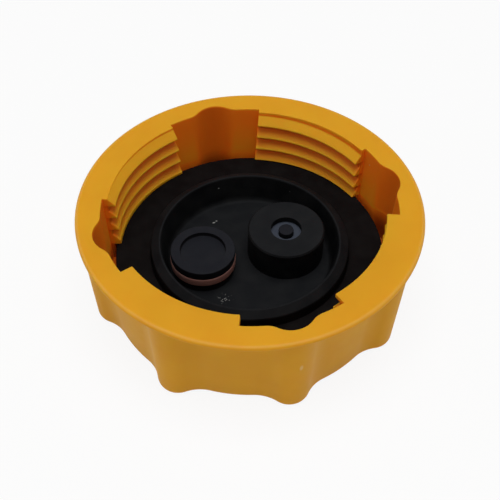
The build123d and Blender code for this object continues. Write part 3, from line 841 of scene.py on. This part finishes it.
class RADIATORCAP_OT_seals(bpy.types.Operator):
    """Build the gasket and the two valve seals"""

    bl_idname = "radiatorcap.seals"
    bl_label = "Gasket and seals"

    def execute(self, context):
        size = context.scene.radiator_cap_insert

        def ring(name, body, node, rubber, middle, inner, outer, low, high, cut):
            corners = [(inner, low), (outer, low), (outer, high), (inner, high)]
            mesh = turned(name, corners, [cut] * 4, middle, closed=True, segments=192)
            placed(name, mesh, body, node, rubber, node)

        rubber = pressed_rubber("black pressed EPDM rubber", size.gasket_colour, 0.7, 0.012, size)
        reach = (0, 0), size.gasket_bore, GASKET_HIGH.x, GASKET_LOW.z, GASKET_HIGH.z, size.edge
        ring("gasket", "insert", "neck_gasket", rubber, *reach)

        rubber = pressed_rubber("grey blue silicone rubber", size.seal_colour, 0.55, 0.05, size)
        middle, outer = round_box(SEAL_LOW, SEAL_HIGH)
        reach = middle, size.pin_radius, outer, SEAL_LOW.z, SEAL_HIGH.z, SMALL_EDGE
        ring("pressure_disc", "pressure_valve", "pressure_seal", rubber, *reach)

        rubber = pressed_rubber("brown nitrile rubber", size.brown_colour, 0.5, 0.06, size)
        middle, outer = round_box(RING_LOW, RING_HIGH)
        reach = middle, size.vacuum_stem, outer, RING_LOW.z, RING_HIGH.z, 0.35 * MM
        ring("vacuum_ring", "vacuum_valve", "vacuum_seal", rubber, *reach)
        return {"FINISHED"}


class RADIATORCAP_OT_poppets(bpy.types.Operator):
    """Build the pressure poppet and the vacuum plate with its stem"""

    bl_idname = "radiatorcap.poppets"
    bl_label = "Poppets"

    def execute(self, context):
        size = context.scene.radiator_cap_insert
        plastic = poppet_plastic(size)
        edge, small = size.edge, SMALL_EDGE

        middle, rim = round_box(PRESSURE_LOW, PRESSURE_HIGH)
        seal = round_box(SEAL_LOW, SEAL_HIGH)[1]
        disc_top = SEAL_LOW.z
        disc_low = disc_top - size.disc
        corners = [
            (0, PRESSURE_LOW.z),
            (size.stem_radius, PRESSURE_LOW.z),
            (size.stem_radius, disc_low - size.boss_height),
            (size.boss_radius, disc_low - size.boss_height),
            (size.boss_radius, disc_low),
            (rim, disc_low),
            (rim, disc_top + size.rim_height),
            (seal, disc_top + size.rim_height),
            (seal, disc_top),
            (size.pin_radius, disc_top),
            (size.pin_radius, PRESSURE_HIGH.z),
            (0, PRESSURE_HIGH.z),
        ]
        cuts = [0, edge, small, edge, small, edge, small, small, small, small, edge, 0]
        mesh = turned("pressure_plate", corners, cuts, middle, closed=False)
        node = "pressure_poppet"
        placed("pressure_plate", mesh, "pressure_valve", node, plastic, node)

        middle, plate = round_box(VACUUM_LOW, VACUUM_HIGH)
        stem = size.vacuum_stem
        neck = stem - size.groove
        groove_low = VACUUM_LOW.z + size.groove_low
        groove_high = groove_low + size.groove_width
        recess = plate - size.recess_rim
        floor = VACUUM_HIGH.z - size.recess_depth
        corners = [
            (0, VACUUM_LOW.z),
            (stem, VACUUM_LOW.z),
            (stem, groove_low),
            (neck, groove_low),
            (neck, groove_high),
            (stem, groove_high),
            (stem, RING_HIGH.z),
            (plate, RING_HIGH.z),
            (plate, VACUUM_HIGH.z),
            (recess, VACUUM_HIGH.z),
            (recess, floor),
            (0, floor),
        ]
        cuts = [0, edge, small, small, small, small, small, edge, edge, 0.3 * edge, edge, 0]
        mesh = turned("vacuum_plate", corners, cuts, middle, closed=False)
        node = "vacuum_poppet"
        placed("vacuum_plate", mesh, "vacuum_valve", node, plastic, node)
        return {"FINISHED"}


class RADIATORCAP_OT_springs(bpy.types.Operator):
    """Build the two coil springs"""

    bl_idname = "radiatorcap.springs"
    bl_label = "Springs"

    def execute(self, context):
        size = context.scene.radiator_cap_insert
        # Drawing lines on the wire are 0.3 mm apart.
        steel = bare_steel("drawn spring steel wire", size.steel_colour, 0.3 * MM)
        # Each spring's valve, wire and turns, and whether its fixed end is the upper one.
        springs = (
            ("pressure", size.pressure_wire, size.pressure_turns, False),
            ("vacuum", size.vacuum_wire, size.vacuum_turns, True),
        )
        for valve, wire, turns, hangs in springs:
            node = valve + "_spring"
            low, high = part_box(node)
            mesh = coil(valve + "_coil", low, high, wire, turns)
            made = placed(valve + "_coil", mesh, "insert", node, steel, node)
            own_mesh(made)
        return {"FINISHED"}


class RADIATORCAP_OT_finishes(bpy.types.Operator):
    """Give the pieces that keep their own solids their finishes"""

    bl_idname = "radiatorcap.finishes"
    bl_label = "Carrier, spring seat, washer and clip"

    def execute(self, context):
        size = context.scene.radiator_cap_insert
        # Each mark's place and reach in millimetres, and whether it is one nick.
        marks = (
            ((-9.5, -11.2, 10.0), (2.3, 2.0, 2.5), False),
            ((-5.8, 14.5, 10.0), (0.5, 0.25, 2.0), True),
            ((-5.0, 14.9, 10.0), (0.35, 0.2, 2.0), True),
            ((-2.5, 21.6, 15.0), (0.22, 1.5, 0.22), True),
        )
        marks = [(np.array(at) * MM, np.array(reach) * MM, one) for at, reach, one in marks]
        carrier = black_plastic(
            "black glass filled polyamide", size.carrier_colour, size, 0.52, marks
        )
        finish_node("valve_carrier", carrier)
        finish_node("pressure_spring_seat", poppet_plastic(size))
        # Tumbling marks on the stampings are 0.6 mm apart.
        stamped = bare_steel("tumbled stamped steel", size.steel_colour, 0.6 * MM)
        finish_node("vacuum_spring_washer", stamped)
        finish_node("vacuum_clip", stamped)
        return {"FINISHED"}


class RADIATORCAP_OT_stage(bpy.types.Operator):
    """Set up the floor, the soft lights, the white surroundings and the camera"""

    bl_idname = "radiatorcap.stage"
    bl_label = "Stage"

    def execute(self, context):
        size = context.scene.radiator_cap_stage
        scene = context.scene

        # A flat floor just under the cap: x and y run over a square, z is constant.
        under = 0.02 * MM
        run = np.linspace(-size.floor_size, size.floor_size, 3)
        x, y = np.meshgrid(run, run, indexing="ij")
        points = np.stack([x, y, 0 * x - under], -1).reshape(-1, 3)
        first = np.array([0, 1, 3, 4])
        faces = np.stack([first, first + 3, first + 4, first + 1], -1)
        mesh = bpy.data.meshes.new("floor")
        mesh.from_pydata(points.tolist(), [], faces.tolist())
        floor = bpy.data.objects.new("floor", mesh)
        scene.collection.objects.link(floor)
        material = bpy.data.materials.new("white studio paper")
        material.use_nodes = True
        tree = material.node_tree
        tree.nodes.clear()
        # The paper reads white to the camera, and still keeps a part of the object's shadow.
        share = add(tree, "Math", {0: seen_directly(tree), 1: 0.9}, operation="MULTIPLY")
        matt = {"Base Color": linear("EDEDED"), "Roughness": 0.9, "Specular IOR Level": 0.1}
        paper = add(tree, "BsdfPrincipled", matt)
        glow = add(tree, "Emission", {"Color": WHITE, "Strength": 1.0})
        mixed = add(tree, "MixShader", {"Fac": share, 1: paper, 2: glow})
        add(tree, "OutputMaterial", {"Surface": mixed})
        mesh.materials.append(material)

        world = bpy.data.worlds.new("white studio")
        scene.world = world
        world.use_nodes = True
        tree = world.node_tree
        tree.nodes.clear()
        even = add(tree, "Background", {"Color": WHITE, "Strength": size.sky})
        white = add(tree, "Background", {"Color": WHITE, "Strength": 1.0})
        mixed = add(tree, "MixShader", {"Fac": seen_directly(tree), 1: even, 2: white})
        add(tree, "OutputWorld", {"Surface": mixed})

        # Each lamp's power, width and place.
        lamps = (
            ("key", size.key_power, 0.4, (-0.02, -0.05, 0.66)),
            ("right_fill", 0.8 * size.fill_power, 0.9, (0.5, -0.55, 0.18)),
            ("left_fill", size.fill_power, 0.9, (-0.7, -0.1, 0.2)),
        )
        for name, power, wide, where in lamps:
            light = bpy.data.lights.new(name, "AREA")
            light.energy = power
            light.size = wide
            lamp = bpy.data.objects.new(name, light)
            scene.collection.objects.link(lamp)
            lamp.location = where
            lamp.rotation_euler = Vector(where).to_track_quat("Z", "Y").to_euler()

        # The camera looks at a point in the rim's plane, a little in front of the axis.
        aim = Vector((-3.85 * MM, -13.59 * MM, CAP_HEIGHT))
        around, rise = size.azimuth, size.elevation
        flat = np.cos(rise)
        back = Vector((np.sin(around) * flat, -np.cos(around) * flat, np.sin(rise)))
        right = Vector((np.cos(around), np.sin(around), 0))
        axes = Matrix((right, back.cross(right), back)).transposed()
        camera_data = bpy.data.cameras.new("camera")
        camera_data.sensor_width = 36
        camera_data.lens = size.focal
        camera = bpy.data.objects.new("camera", camera_data)
        scene.collection.objects.link(camera)
        turned_axes = axes @ Matrix.Rotation(size.roll, 3, "Z")
        camera.matrix_world = Matrix.Translation(aim + back * size.distance) @ turned_axes.to_4x4()
        scene.camera = camera
        scene.view_settings.view_transform = "Standard"
        return {"FINISHED"}


class RADIATORCAP_PT_panel(bpy.types.Panel):
    """Lists the steps that build the cap"""

    bl_idname = "RADIATORCAP_PT_panel"
    bl_label = "Radiator cap"
    bl_space_type = "VIEW_3D"
    bl_region_type = "UI"
    bl_category = "Radiator cap"

    def draw(self, context):
        for step in STEPS:
            self.layout.operator(step.bl_idname)


STEPS = (
    RADIATORCAP_OT_shell,
    RADIATORCAP_OT_seals,
    RADIATORCAP_OT_poppets,
    RADIATORCAP_OT_springs,
    RADIATORCAP_OT_finishes,
    RADIATORCAP_OT_stage,
)
CLASSES = (RadiatorCapShell, RadiatorCapInsert, RadiatorCapStage, *STEPS, RADIATORCAP_PT_panel)


def register():
    for made in CLASSES:
        bpy.utils.register_class(made)
    bpy.types.Scene.radiator_cap_shell = PointerProperty(type=RadiatorCapShell)
    bpy.types.Scene.radiator_cap_insert = PointerProperty(type=RadiatorCapInsert)
    bpy.types.Scene.radiator_cap_stage = PointerProperty(type=RadiatorCapStage)


def unregister():
    del bpy.types.Scene.radiator_cap_stage
    del bpy.types.Scene.radiator_cap_insert
    del bpy.types.Scene.radiator_cap_shell
    for made in reversed(CLASSES):
        bpy.utils.unregister_class(made)


def main():
    register()
    bpy.ops.radiatorcap.shell()
    bpy.ops.radiatorcap.seals()
    bpy.ops.radiatorcap.poppets()
    bpy.ops.radiatorcap.springs()
    bpy.ops.radiatorcap.finishes()
    bpy.ops.radiatorcap.stage()


if __name__ == "__main__":
    main()
